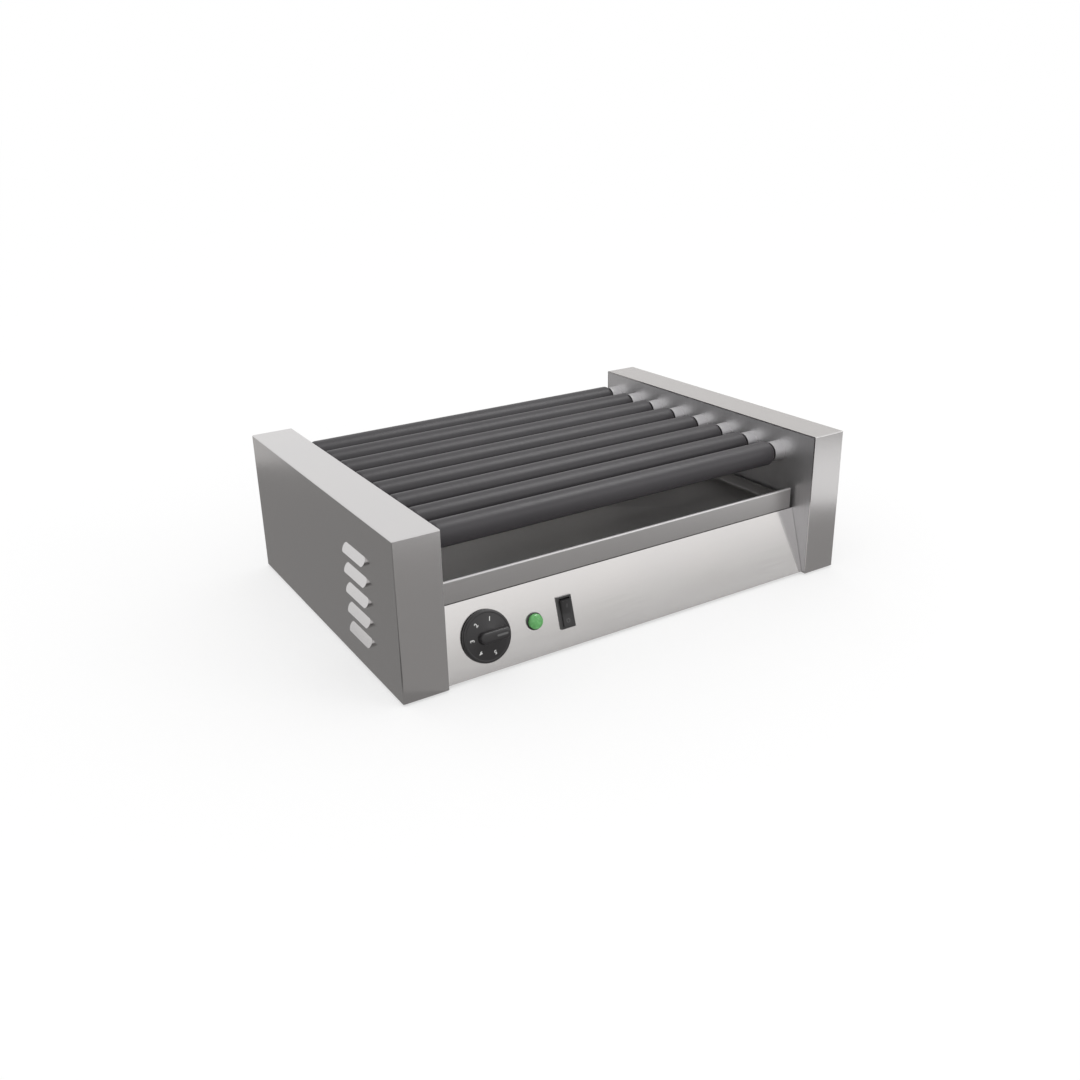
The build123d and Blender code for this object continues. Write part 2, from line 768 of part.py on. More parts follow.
# ------------------------------------------------------------ gear motor
gearbox_radius = 25.0
gearbox_length = 22.0
motor_can_radius = 19.0
motor_can_length = 50.0
motor_edge_round = 2.0
motor_boss_length = plate + 3.0
shaft_depth = 18.0
shaft_end_gap = 1.0
motor_screw_depth = 12.0
motor_screw_head_radius = 3.6
motor_screw_head_height = 2.4
gearbox_face = left_inside + fit_gap
with BuildPart() as gear_motor:
    with BuildSketch(Plane.YZ.offset(gearbox_face)):
        with Locations(motor_centre):
            Circle(gearbox_radius)
    extrude(amount=gearbox_length)
    fillet(gear_motor.edges().filter_by(GeomType.CIRCLE).sort_by(Axis.X)[-1], radius=motor_edge_round)
    with BuildSketch(Plane.YZ.offset(gearbox_face + gearbox_length)):
        with Locations(motor_centre):
            Circle(motor_can_radius)
    extrude(amount=motor_can_length)
    fillet(gear_motor.edges().filter_by(GeomType.CIRCLE).sort_by(Axis.X)[-1], radius=motor_edge_round)
    with BuildSketch(Plane.YZ.offset(gearbox_face)):
        with Locations(motor_centre):
            Circle(motor_boss_radius)
    extrude(amount=-motor_boss_length)
    with BuildSketch(Plane.YZ.offset(left_inside + shaft_depth)):
        with Locations(motor_centre):
            Circle(motor_shaft_radius + running_gap)
    extrude(amount=-shaft_depth - motor_boss_length, mode=Mode.SUBTRACT)
    with BuildSketch(Plane.YZ.offset(left_inside)):
        with Locations(motor_centre):
            with PolarLocations(motor_screw_circle, motor_screw_count, start_angle=90):
                Circle(motor_screw_radius + running_gap)
    extrude(amount=motor_screw_depth, mode=Mode.SUBTRACT)
gear_motor.part.label = "gear_motor"
export_step(gear_motor.part, "parts/gear_motor.step")

with BuildPart() as motor_shaft:
    with BuildSketch(Plane.YZ.offset(driven_journal_end)):
        with Locations(motor_centre):
            Circle(motor_shaft_radius)
    extrude(amount=left_inside + shaft_depth - shaft_end_gap - driven_journal_end)
motor_shaft.part.label = "motor_shaft"
export_step(motor_shaft.part, "parts/motor_shaft.step")

with BuildPart() as motor_screws:
    with BuildSketch(Plane.YZ.offset(left_inside - plate)):
        with Locations(motor_centre):
            with PolarLocations(motor_screw_circle, motor_screw_count, start_angle=90):
                Circle(motor_screw_head_radius)
    extrude(amount=-motor_screw_head_height)
    with BuildSketch(Plane.YZ.offset(left_inside - plate)):
        with Locations(motor_centre):
            with PolarLocations(motor_screw_circle, motor_screw_count, start_angle=90):
                Circle(motor_screw_radius)
    extrude(amount=motor_screw_depth)
motor_screws.part.label = "motor_screws"
export_step(motor_screws.part, "parts/motor_screws.step")

# ------------------------------------------------------------ thermostat
thermostat_case = (34.0, 34.0)
thermostat_case_round = 4.0
thermostat_depth = 22.0
behind_panel = -sheet - 0.1
neck_height = 1.5
thermostat_shaft_radius = 3.0
shaft_inner_end = -14.0
shaft_outer_end = 8.5
with BuildPart() as thermostat_body:
    with BuildSketch(fascia_plane.offset(behind_panel)):
        with Locations(knob_place):
            RectangleRounded(*thermostat_case, thermostat_case_round)
    extrude(amount=-thermostat_depth)
    with BuildSketch(fascia_plane.offset(behind_panel)):
        with Locations(knob_place):
            Circle(neck_radius)
    extrude(amount=neck_height - behind_panel)
    with BuildSketch(fascia_plane.offset(neck_height)):
        with Locations(knob_place):
            Circle(thermostat_shaft_radius + running_gap)
    extrude(amount=shaft_inner_end - neck_height - fit_gap, mode=Mode.SUBTRACT)
thermostat_body.part.label = "thermostat_body"
export_step(thermostat_body.part, "parts/thermostat_body.step")

with BuildPart() as thermostat_shaft:
    with BuildSketch(fascia_plane.offset(shaft_inner_end)):
        with Locations(knob_place):
            Circle(thermostat_shaft_radius)
    extrude(amount=shaft_outer_end - shaft_inner_end)
thermostat_shaft.part.label = "thermostat_shaft"
export_step(thermostat_shaft.part, "parts/thermostat_shaft.step")

knob_radius = 24.0
knob_start = 0.8
skirt_height = 5.0
skirt_taper = 10.0
grip_height = 11.0
grip_length = 2 * knob_radius - 8
grip_width = 10.0
grip_taper = 8.0
neck_recess_radius = neck_radius + 2.0
neck_recess_depth = 1.4
with BuildPart() as thermostat_knob:
    with BuildSketch(fascia_plane.offset(knob_start)):
        with Locations(knob_place):
            Circle(knob_radius)
    extrude(amount=skirt_height - knob_start, taper=skirt_taper)
    with BuildSketch(fascia_plane.offset(skirt_height)):
        with Locations(knob_place):
            SlotOverall(grip_length, grip_width)
    extrude(amount=grip_height - skirt_height, taper=grip_taper)
    with BuildSketch(fascia_plane.offset(knob_start)):
        with Locations(knob_place):
            Circle(neck_recess_radius)
    extrude(amount=neck_recess_depth, mode=Mode.SUBTRACT)
    with BuildSketch(fascia_plane.offset(knob_start)):
        with Locations(knob_place):
            Circle(thermostat_shaft_radius + press_gap)
    extrude(amount=shaft_outer_end + fit_gap - knob_start, mode=Mode.SUBTRACT)
thermostat_knob.part.label = "thermostat_knob"
export_step(thermostat_knob.part, "parts/thermostat_knob.step")

# ------------------------------------------------------------ pilot lamp
bezel_radius = 8.2
bezel_height = 1.5
lamp_depth = 22.0
lens_radius = 7.0
lens_height = 5.0
lens_round = 3.0
with BuildPart() as pilot_lamp_body:
    with BuildSketch(fascia_plane):
        with Locations(lamp_place):
            Circle(bezel_radius)
    extrude(amount=bezel_height)
    with BuildSketch(fascia_plane):
        with Locations(lamp_place):
            Circle(lamp_body_radius)
    extrude(amount=-lamp_depth)
pilot_lamp_body.part.label = "pilot_lamp_body"
export_step(pilot_lamp_body.part, "parts/pilot_lamp_body.step")

with BuildPart() as pilot_lamp_lens:
    with BuildSketch(fascia_plane.offset(bezel_height)):
        with Locations(lamp_place):
            Circle(lens_radius)
    extrude(amount=lens_height)
    lens_front = pilot_lamp_lens.faces().sort_by(Axis((0, 0, 0), fascia_plane.z_dir))[-1]
    fillet(lens_front.edges(), radius=lens_round)
pilot_lamp_lens.part.label = "pilot_lamp_lens"
export_step(pilot_lamp_lens.part, "parts/pilot_lamp_lens.step")

# ------------------------------------------------------------ rocker switch
switch_flange = (15.0, 30.0)
switch_body = (13.0, 27.6)
switch_window = (11.4, 26.4)
flange_height = 2.0
switch_depth = 22.0
window_depth = 9.0
rocker_width = 10.8
rocker_half = 12.3
rocker_bottom = -1.5
rocker_middle_height = 4.2
rocker_tilt = 8.0
rocker_end_height = rocker_middle_height + rocker_half * math.tan(math.radians(rocker_tilt))
pivot_height = -1.0
pivot_radius = 1.2
pivot_reach = 0.5
pivot_gap = 0.07
pivot_point = (
    fascia_plane.origin
    + fascia_plane.x_dir * switch_place[0]
    + fascia_plane.y_dir * control_height
    + fascia_plane.z_dir * pivot_height
)
pivot_plane = Plane(origin=pivot_point, x_dir=fascia_plane.y_dir, z_dir=(1, 0, 0))
pivot_hole_reach = rocker_width / 2 + pivot_reach + hole_gap

with BuildPart() as rocker_switch_housing:
    with BuildSketch(fascia_plane):
        with Locations(switch_place):
            Rectangle(*switch_flange)
    extrude(amount=flange_height)
    with BuildSketch(fascia_plane):
        with Locations(switch_place):
            Rectangle(*switch_body)
    extrude(amount=-switch_depth)
    with BuildSketch(fascia_plane.offset(flange_height)):
        with Locations(switch_place):
            Rectangle(*switch_window)
    extrude(amount=-flange_height - window_depth, mode=Mode.SUBTRACT)
    with BuildSketch(pivot_plane.offset(-pivot_hole_reach)):
        Circle(pivot_radius + pivot_gap)
    extrude(amount=2 * pivot_hole_reach, mode=Mode.SUBTRACT)
rocker_switch_housing.part.label = "rocker_switch_housing"
export_step(rocker_switch_housing.part, "parts/rocker_switch_housing.step")

with BuildPart() as rocker:
    with BuildSketch(pivot_plane.offset(-rocker_width / 2)):
        with Locations(Rotation(0, 0, rocker_tilt)):
            Polygon(
                (-rocker_half, rocker_bottom),
                (rocker_half, rocker_bottom),
                (rocker_half, rocker_end_height),
                (0, rocker_middle_height),
                (-rocker_half, rocker_end_height),
                align=None,
            )
    extrude(amount=rocker_width)
    with BuildSketch(pivot_plane.offset(-rocker_width / 2 - pivot_reach)):
        Circle(pivot_radius)
    extrude(amount=rocker_width + 2 * pivot_reach)
rocker.part.label = "rocker"
export_step(rocker.part, "parts/rocker.step")

# ------------------------------------------------------------ mains entry
nut_across_flats = 20.0
nut_thickness = 4.0
gland_hex_height = 5.0
gland_cap_radius = 9.5
gland_cap_length = 14.0
gland_cap_taper = 8.0
gland_thread_length = 9.0
gland_bore_radius = 4.2
gland_length = gland_hex_height + gland_cap_length + gland_thread_length
rear_plane = Plane.XZ.offset(-rear_panel_face)
with BuildPart() as cable_gland:
    with BuildSketch(rear_plane):
        with Locations(gland_place):
            RegularPolygon(nut_across_flats / 2, 6, major_radius=False)
    extrude(amount=-gland_hex_height)
    with BuildSketch(rear_plane.offset(-gland_hex_height)):
        with Locations(gland_place):
            Circle(gland_cap_radius)
    extrude(amount=-gland_cap_length, taper=gland_cap_taper)
    with BuildSketch(rear_plane):
        with Locations(gland_place):
            Circle(gland_thread_radius)
    extrude(amount=gland_thread_length)
    with BuildSketch(rear_plane.offset(-gland_hex_height - gland_cap_length)):
        with Locations(gland_place):
            Circle(gland_bore_radius)
    extrude(amount=gland_length, mode=Mode.SUBTRACT)
cable_gland.part.label = "cable_gland"
export_step(cable_gland.part, "parts/cable_gland.step")

with BuildPart() as gland_nut:
    with BuildSketch(rear_plane.offset(sheet)):
        with Locations(gland_place):
            RegularPolygon(nut_across_flats / 2, 6, major_radius=False)
            Circle(gland_thread_radius + running_gap, mode=Mode.SUBTRACT)
    extrude(amount=nut_thickness)
gland_nut.part.label = "gland_nut"
export_step(gland_nut.part, "parts/gland_nut.step")

block_ways = 6
block_pitch = 10.0
block_width = 20.0
block_height = 14.0
block_place = (gland_place[0] + 5, 100.0)
block_hole_radius = 2.5
block_hole_depth = 6.0
with BuildPart() as terminal_block:
    with BuildSketch(Plane.XY.offset(pan_bottom + sheet)):
        with Locations(block_place):
            Rectangle(block_ways * block_pitch, block_width)
    extrude(amount=block_height)
    with BuildSketch(Plane.XY.offset(pan_bottom + sheet + block_height)):
        with Locations(block_place):
            with GridLocations(block_pitch, block_width / 2, block_ways, 2):
                Circle(block_hole_radius)
    extrude(amount=-block_hole_depth, mode=Mode.SUBTRACT)
terminal_block.part.label = "terminal_block"
export_step(terminal_block.part, "parts/terminal_block.step")
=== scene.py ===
import json
import math

import bmesh
import bpy
from mathutils import Matrix, Vector


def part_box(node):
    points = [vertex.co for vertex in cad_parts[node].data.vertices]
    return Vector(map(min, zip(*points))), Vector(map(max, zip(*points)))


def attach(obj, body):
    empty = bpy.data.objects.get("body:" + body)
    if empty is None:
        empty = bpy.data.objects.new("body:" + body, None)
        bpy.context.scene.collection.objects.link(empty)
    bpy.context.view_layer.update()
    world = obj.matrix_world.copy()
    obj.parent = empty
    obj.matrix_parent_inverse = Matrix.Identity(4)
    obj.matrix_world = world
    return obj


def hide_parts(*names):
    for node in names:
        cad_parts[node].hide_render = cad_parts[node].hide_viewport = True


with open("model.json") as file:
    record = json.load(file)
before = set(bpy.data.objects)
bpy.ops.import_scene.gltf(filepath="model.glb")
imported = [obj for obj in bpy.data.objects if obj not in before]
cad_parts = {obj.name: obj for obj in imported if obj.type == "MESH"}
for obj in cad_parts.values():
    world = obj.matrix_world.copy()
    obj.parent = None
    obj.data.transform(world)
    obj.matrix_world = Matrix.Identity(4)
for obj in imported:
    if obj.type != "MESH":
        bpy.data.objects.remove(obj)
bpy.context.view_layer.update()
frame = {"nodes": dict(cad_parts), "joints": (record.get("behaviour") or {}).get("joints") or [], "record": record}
nodes = frame["nodes"]
record = frame["record"]
joints = {joint["name"]: joint for joint in frame["joints"]}
MM = 0.001

# Radiance of the bare white surroundings, for the sky and for the far floor alike.
WHITE = 1.0

# Faces that meet at less than this angle shade smoothly into each other.
SMOOTH_BELOW = math.radians(35)


# ------------------------------------------------------------ mesh building
def mesh_object(name, build, material):
    """A new mesh object; build fills the bmesh it is handed."""
    mesh = bpy.data.meshes.new(name)
    work = bmesh.new()
    build(work)
    bmesh.ops.recalc_face_normals(work, faces=work.faces)
    work.to_mesh(mesh)
    work.free()
    mesh.set_sharp_from_angle(angle=SMOOTH_BELOW)
    mesh.materials.append(material)
    piece = bpy.data.objects.new(name, mesh)
    bpy.context.scene.collection.objects.link(piece)
    return piece


def skin(work, loops, joined=False):
    """Faces between loops of equal length. The ends are filled, or the last loop joins the first."""
    rows = [[work.verts.new(point) for point in loop] for loop in loops]
    count = len(rows[0])
    pairs = list(zip(rows, rows[1:]))
    if joined:
        pairs.append((rows[-1], rows[0]))
    else:
        work.faces.new(rows[0])
        work.faces.new(rows[-1])
    for low, high in pairs:
        for i in range(count):
            j = (i + 1) % count
            work.faces.new((low[i], low[j], high[j], high[i]))


def rounded_outline(corners, steps=4, closed=False):
    """Turns corners (x, y, radius) into points, each corner with a radius becoming an arc."""
    points = []
    last_index = len(corners) - 1
    for i, (x, y, radius) in enumerate(corners):
        here = Vector((x, y))
        if radius == 0 or (not closed and i in (0, last_index)):
            points.append(here)
            continue
        before = (Vector(corners[i - 1][:2]) - here).normalized()
        after = (Vector(corners[(i + 1) % len(corners)][:2]) - here).normalized()
        half = before.angle(after) / 2
        center = here + (before + after).normalized() * (radius / math.sin(half))
        start = here + before * (radius / math.tan(half)) - center
        end = here + after * (radius / math.tan(half)) - center
        first_angle = math.atan2(start.y, start.x)
        sweep = math.atan2(start.x * end.y - start.y * end.x, start.dot(end))
        for k in range(steps + 1):
            angle = first_angle + sweep * k / steps
            points.append(center + Vector((math.cos(angle), math.sin(angle))) * radius)
    return points


def round_turns(steps):
    """Evenly spaced angles once round a circle."""
    return [2 * math.pi * k / steps for k in range(steps)]


def ring_loop(place, turns, radius, height):
    """Circle of points about place's local Z axis, radius and height in mm."""
    return [place @ (Vector((radius * math.cos(a), radius * math.sin(a), height)) * MM) for a in turns]


def lathe(work, place, corners, steps=64, joined=False):
    """Turns an outline of (radius, height, corner radius) in mm about place's local Z axis."""
    outline = rounded_outline(corners, closed=joined)
    turns = round_turns(steps)
    skin(work, [ring_loop(place, turns, radius, height) for radius, height in outline], joined)


def block_loop(place, size, corner, height, middle=(0, 0), steps=4):
    """Rounded rectangle of size (x, y) in mm, at a height in place's frame."""
    half_x, half_y = size[0] / 2, size[1] / 2
    signs = ((-1, -1), (1, -1), (1, 1), (-1, 1))
    corners = [(middle[0] + sx * half_x, middle[1] + sy * half_y, corner) for sx, sy in signs]
    outline = rounded_outline(corners, steps, closed=True)
    return [place @ (Vector((x, y, height)) * MM) for x, y in outline]


def facing(origin, outward, right):
    """Frame with its origin on a surface, local Z outward and local X to the right."""
    outward = Vector(outward).normalized()
    right = Vector(right).normalized()
    axes = Matrix((right, outward.cross(right), outward)).transposed().to_4x4()
    return Matrix.Translation(origin) @ axes


def middle_of(node):
    """Middle of a CAD node's box, in metres."""
    low, high = (Vector(corner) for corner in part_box(node))
    return (low + high) / 2


def finish_piece(piece, body, replaced=()):
    """Puts a piece on its body, in place of the CAD nodes that it replaces."""
    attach(piece, body)
    if replaced:
        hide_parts(*replaced)


# ------------------------------------------------------------ camera, floor and light
def add_camera():
    """Three-quarter view from the front left, a little above the rollers."""
    place = Vector((-0.5430, -0.8671, 0.4626))
    heading, fall, roll = (math.radians(a) for a in (30.114, 21.313, 1.857))
    level = math.cos(fall)
    aim = Vector((math.sin(heading) * level, math.cos(heading) * level, -math.sin(fall)))
    level_right = aim.cross(Vector((0, 0, 1))).normalized()
    level_up = level_right.cross(aim)
    right = level_right * math.cos(roll) - level_up * math.sin(roll)
    up = right.cross(aim)
    data = bpy.data.cameras.new("camera")
    data.sensor_width = 36
    data.lens = 34.474
    data.shift_x = 0.0278
    data.shift_y = -0.0259
    data.clip_start = 0.01
    data.clip_end = 100
    camera = bpy.data.objects.new("camera", data)
    bpy.context.scene.collection.objects.link(camera)
    axes = Matrix((right, up, -aim)).transposed().to_4x4()
    camera.matrix_world = Matrix.Translation(place) @ axes
    bpy.context.scene.camera = camera


def spare(light_name, pieces):
    """Keeps one light off the named pieces, as a small flag on a stand does."""
    spared = bpy.data.collections.new(light_name + "_spared")
    for piece in pieces:
        spared.objects.link(bpy.data.objects[piece])
    for entry in spared.collection_objects:
        entry.light_linking.link_state = "EXCLUDE"
    bpy.data.objects[light_name].light_linking.receiver_collection = spared


def flat_card(name, corners, material):
    """One flat face with the given corners, as part of the studio and not of the grill."""

    def build(work):
        work.faces.new([work.verts.new(corner) for corner in corners])

    card = mesh_object(name, build, material)
    return card


CARD_TINT = (1.0, 0.985, 0.97, 1)


def glow_card(name, corners, low, high=None, height=1.0):
    """Grey card that only reflections see. Its brightness runs from low at z = 0 to high at height."""
    material = bpy.data.materials.new(name)
    material.use_nodes = True
    tree = material.node_tree
    tree.nodes.clear()
    glow = tree.nodes.new("ShaderNodeEmission")
    glow.inputs["Color"].default_value = CARD_TINT
    place = tree.nodes.new("ShaderNodeTexCoord")
    split = tree.nodes.new("ShaderNodeSeparateXYZ")
    ramp = tree.nodes.new("ShaderNodeMapRange")
    ramp.inputs["From Max"].default_value = height
    ramp.inputs["To Min"].default_value = low
    ramp.inputs["To Max"].default_value = low if high is None else high
    tree.links.new(place.outputs["Object"], split.inputs[0])
    tree.links.new(split.outputs["Z"], ramp.inputs["Value"])
    tree.links.new(ramp.outputs["Result"], glow.inputs["Strength"])
    out = tree.nodes.new("ShaderNodeOutputMaterial")
    tree.links.new(glow.outputs[0], out.inputs["Surface"])
    card = flat_card(name, corners, material)
    card.visible_camera = False
    card.visible_diffuse = False
    card.visible_shadow = False
    card.visible_transmission = False
    return card


def floor_paint(albedo):
    """Matt white. Its slight glow makes the far floor exactly as bright as the sky."""
    material = bpy.data.materials.new("floor_paint")
    material.use_nodes = True
    shader = material.node_tree.nodes["Principled BSDF"]
    shader.inputs["Base Color"].default_value = (albedo, albedo, albedo, 1)
    shader.inputs["Roughness"].default_value = 1.0
    shader.inputs["Specular IOR Level"].default_value = 0.0
    shader.inputs["Emission Color"].default_value = (1, 1, 1, 1)
    shader.inputs["Emission Strength"].default_value = WHITE * (1 - albedo)
    return material


FLOOR_HALF = 30.0
FLOOR_ALBEDO = 0.5

# Strips of floor, counted away from the camera: name, near and far edge, half length, brightness.
FLOOR_CARDS = (
    ("low_flag", -4.0, -0.72, 4.0, 0.42),
    ("front_flag", -0.455, -0.05, 2.5, 0.34),
    ("side_flag", -0.05, 0.633, 2.5, 0.27),
    ("back_flag", 0.633, 2.4, 4.0, 0.55),
)
FLOOR_CARD_TURN = math.radians(30)
FLOOR_CARD_LIFT = 0.4 * MM

# Area lights: name, place, side length, power.
LIGHTS = (
    ("overhead", (0.75, -0.16, 1.55), 0.7, 10.5),
    ("front_right", (1.5, -1.9, 1.1), 1.0, 5),
)
LIGHT_TARGET = Vector((0, 0, 0.1))


def add_floor():
    half = FLOOR_HALF
    square = [(-half, -half, 0), (half, -half, 0), (half, half, 0), (-half, half, 0)]
    flat_card("floor", square, floor_paint(FLOOR_ALBEDO))


def add_floor_cards():
    """Grey cards on the floor stand for the darker room that the bright metal reflects."""
    across = Vector((math.cos(FLOOR_CARD_TURN), math.sin(FLOOR_CARD_TURN), 0))
    away = Vector((-math.sin(FLOOR_CARD_TURN), math.cos(FLOOR_CARD_TURN), 0))
    up = Vector((0, 0, FLOOR_CARD_LIFT))
    for name, near, far, reach, glow in FLOOR_CARDS:
        ends = ((near, -reach), (near, reach), (far, reach), (far, -reach))
        glow_card(name, [away * a + across * b + up for a, b in ends], glow)


def add_corner_card():
    """A narrow dark card lies straight out from the front left corner."""
    near_end, far_end = Vector((-0.27, -0.19, 0.0008)), Vector((-0.65, -0.42, 0.0008))
    wide = (far_end - near_end).cross(Vector((0, 0, 1))).normalized() * 0.06
    corners = [near_end - wide, near_end + wide, far_end + wide, far_end - wide]
    glow_card("corner_flag", corners, 0.13)


def add_far_cards():
    """A card far in front darkens the panel's foot, and one far right dulls the right top."""
    front = Vector((0.467, -0.874, 0)) * 4
    along = Vector((0.874, 0.467, 0)) * 3
    top = Vector((0, 0, 0.5))
    corners = [front - along, front + along, front + along + top, front - along + top]
    glow_card("far_card", corners, 0.36, WHITE, 0.26)
    middle = Vector((3.66, 3.41, 0))
    along = Vector((3.41, -3.66, 0)) * 0.3
    low, high = Vector((0, 0, 0.3)), Vector((0, 0, 3.2))
    corners = [middle - along + low, middle + along + low, middle + along + high, middle - along + high]
    glow_card("right_card", corners, 0.80)


def add_sky():
    world = bpy.data.worlds.new("studio")
    world.use_nodes = True
    sky = world.node_tree.nodes["Background"]
    sky.inputs["Color"].default_value = (1, 1, 1, 1)
    sky.inputs["Strength"].default_value = WHITE
    bpy.context.scene.world = world


def add_lights():
    for name, place, size, power in LIGHTS:
        data = bpy.data.lights.new(name, "AREA")
        data.shape = "SQUARE"
        data.size = size
        data.energy = power
        light = bpy.data.objects.new(name, data)
        bpy.context.scene.collection.objects.link(light)
        light.location = place
        light.rotation_euler = (LIGHT_TARGET - Vector(place)).to_track_quat("-Z", "Y").to_euler()


def add_studio():
    add_floor()
    add_floor_cards()
    add_corner_card()
    add_far_cards()
    add_sky()
    add_lights()
    bpy.context.scene.view_settings.view_transform = "Standard"
    bpy.context.scene.view_settings.look = "None"


# ------------------------------------------------------------ materials
# A noise node's values seldom leave this span.
NOISE_LOW = 0.3
NOISE_HIGH = 0.7
BUMP_DISTANCE = 0.2 * MM


class Paint:
    """Node tree helper: adds nodes by type and links them in one call."""

    def __init__(self, name):
        self.material = bpy.data.materials.new(name)
        self.material.use_nodes = True
        self.tree = self.material.node_tree
        self.shader = self.tree.nodes["Principled BSDF"]
        self.place = self.add("ShaderNodeTexCoord").outputs["Object"]

    def add(self, kind, settings=None, **values):
        node = self.tree.nodes.new(kind)
        for key, value in (settings or {}).items():
            setattr(node, key, value)
        for key, value in values.items():
            self.feed(node.inputs[key.replace("_", " ")], value)
        return node

    def feed(self, socket, value):
        if isinstance(value, bpy.types.NodeSocket):
            self.tree.links.new(value, socket)
        else:
            socket.default_value = value

    def stretch(self, scale):
        """Object coordinates scaled per axis, in metres before scaling."""
        return self.add("ShaderNodeMapping", Vector=self.place, Scale=scale).outputs["Vector"]

    def noise(self, scale, stretch=(1, 1, 1), detail=2.0, rough=0.5):
        node = self.add("ShaderNodeTexNoise", Vector=self.stretch(stretch), Scale=scale, Detail=detail)
        node.inputs["Roughness"].default_value = rough
        return node.outputs["Fac"]

    def remap(self, source, low, high):
        """Spreads a noise value's usual span over low to high."""
        node = self.add("ShaderNodeMapRange", Value=source)
        node.inputs["From Min"].default_value = NOISE_LOW
        node.inputs["From Max"].default_value = NOISE_HIGH
        node.inputs["To Min"].default_value = low
        node.inputs["To Max"].default_value = high
        return node.outputs["Result"]

    def mix(self, factor, first, second):
        node = self.add("ShaderNodeMix", {"data_type": "RGBA"})
        self.feed(node.inputs[0], factor)
        self.feed(node.inputs[6], first)
        self.feed(node.inputs[7], second)
        return node.outputs[2]

    def math(self, operation, first, second):
        node = self.add("ShaderNodeMath", {"operation": operation})
        self.feed(node.inputs[0], first)
        self.feed(node.inputs[1], second)
        return node.outputs[0]

    def bump(self, height, strength):
        node = self.add("ShaderNodeBump", Height=height)
        node.inputs["Strength"].default_value = strength
        node.inputs["Distance"].default_value = BUMP_DISTANCE
        self.tree.links.new(node.outputs["Normal"], self.shader.inputs["Normal"])

    def set(self, **values):
        for key, value in values.items():
            self.feed(self.shader.inputs[key.replace("_", " ")], value)


GRAIN_ALONG = {"x": (1, 60, 60), "y": (60, 1, 60), "z": (60, 60, 1)}


def shade(color, factor):
    """A colour made darker or lighter, with full alpha."""
    return tuple(min(1, c * factor) for c in color) + (1,)


def brushed_steel(name, color, grain="y", roughness=0.16, grain_depth=0.06, smudge=0.03, contrast=0.03):
    """Satin sheet: fine grain one way, faint cloudy smudges and slow colour drift."""
    paint = Paint(name)
    grain_lines = paint.noise(18, GRAIN_ALONG[grain], 3, 0.6)
    fine_lines = paint.noise(70, GRAIN_ALONG[grain], 2, 0.6)
    clouds = paint.noise(9, (1, 1, 1), 3, 0.55)
    half_grain = paint.math("MULTIPLY", grain_lines, 0.5)
    half_fine = paint.math("MULTIPLY", fine_lines, 0.5)
    lines = paint.math("ADD", half_grain, half_fine)
    dark, light = shade(color, 1 - contrast), shade(color, 1 + contrast * 0.6)
    tint = paint.mix(paint.remap(lines, 0, 1), dark, light)
    cool = tuple(c * f for c, f in zip(color, (0.965, 0.975, 0.99))) + (1,)
    paint.set(Base_Color=paint.mix(paint.remap(clouds, 0, 0.35), tint, cool), Metallic=1.0)
    rough_lines = paint.remap(lines, roughness - 0.02, roughness + 0.04)
    paint.set(Roughness=paint.math("ADD", rough_lines, paint.remap(clouds, 0, smudge)))
    paint.bump(lines, grain_depth)
    return paint.material


def coated_black(name):
    """Non-stick roller coating: satin, faintly wiped round the tube, with a thin cooked-on film."""
    paint = Paint(name)
    rings = paint.noise(40, (6, 1, 1), 3, 0.6)
    film = paint.noise(14, (0.6, 1, 1), 4, 0.6)
    pits = paint.noise(900, (1, 1, 1), 2, 0.5)
    base = paint.mix(paint.remap(film, 0, 1), (0.030, 0.0275, 0.0305, 1), (0.038, 0.035, 0.0385, 1))
    paint.set(Base_Color=base, Metallic=0.0)
    paint.set(Roughness=paint.math("ADD", paint.remap(rings, 0.38, 0.43), paint.remap(film, 0, 0.05)))
    paint.bump(pits, 0.06)
    paint.shader.inputs["Specular IOR Level"].default_value = 0.38
    return paint.material


def turned_steel(name, color, roughness=0.25):
    """Bright turned or rolled metal: tool marks in the roughness and the bump, and faint stains."""
    paint = Paint(name)
    tooling = paint.noise(60, (8, 1, 1), 3, 0.6)
    stain = paint.noise(25, (1, 1, 1), 3, 0.5)
    stained = paint.mix(paint.remap(stain, 0, 1), shade(color, 0.8), shade(color, 1))
    paint.set(Base_Color=stained, Metallic=1.0)
    paint.set(Roughness=paint.remap(tooling, roughness - 0.06, roughness + 0.1))
    paint.bump(tooling, 0.15)
    return paint.material


def moulded(name, color, roughness=0.45, grain=0.12, grain_scale=1400, specular=0.5):
    """Moulded plastic or rubber with a fine sparked texture and slight sheen changes."""
    paint = Paint(name)
    texture = paint.noise(grain_scale, (1, 1, 1), 2, 0.5)
    drift = paint.noise(30, (1, 1, 1), 3, 0.5)
    drifted = paint.mix(paint.remap(drift, 0, 1), shade(color, 0.85), shade(color, 1))
    paint.set(Base_Color=drifted, Metallic=0.0)
    paint.set(Roughness=paint.remap(drift, roughness - 0.05, roughness + 0.08))
    paint.bump(texture, grain)
    paint.shader.inputs["Specular IOR Level"].default_value = specular
    return paint.material


def green_lens(name):
    """Tinted acrylic with slightly uneven depth of colour under a clear gloss."""
    paint = Paint(name)
    depth = paint.noise(300, (1, 1, 1), 2, 0.5)
    deep, thin = (0.085, 0.30, 0.085, 1), (0.12, 0.38, 0.12, 1)
    paint.set(Base_Color=paint.mix(paint.remap(depth, 0, 1), deep, thin))
    paint.set(Roughness=paint.remap(depth, 0.22, 0.30))
    paint.shader.inputs["Coat Weight"].default_value = 0.15
    return paint.material


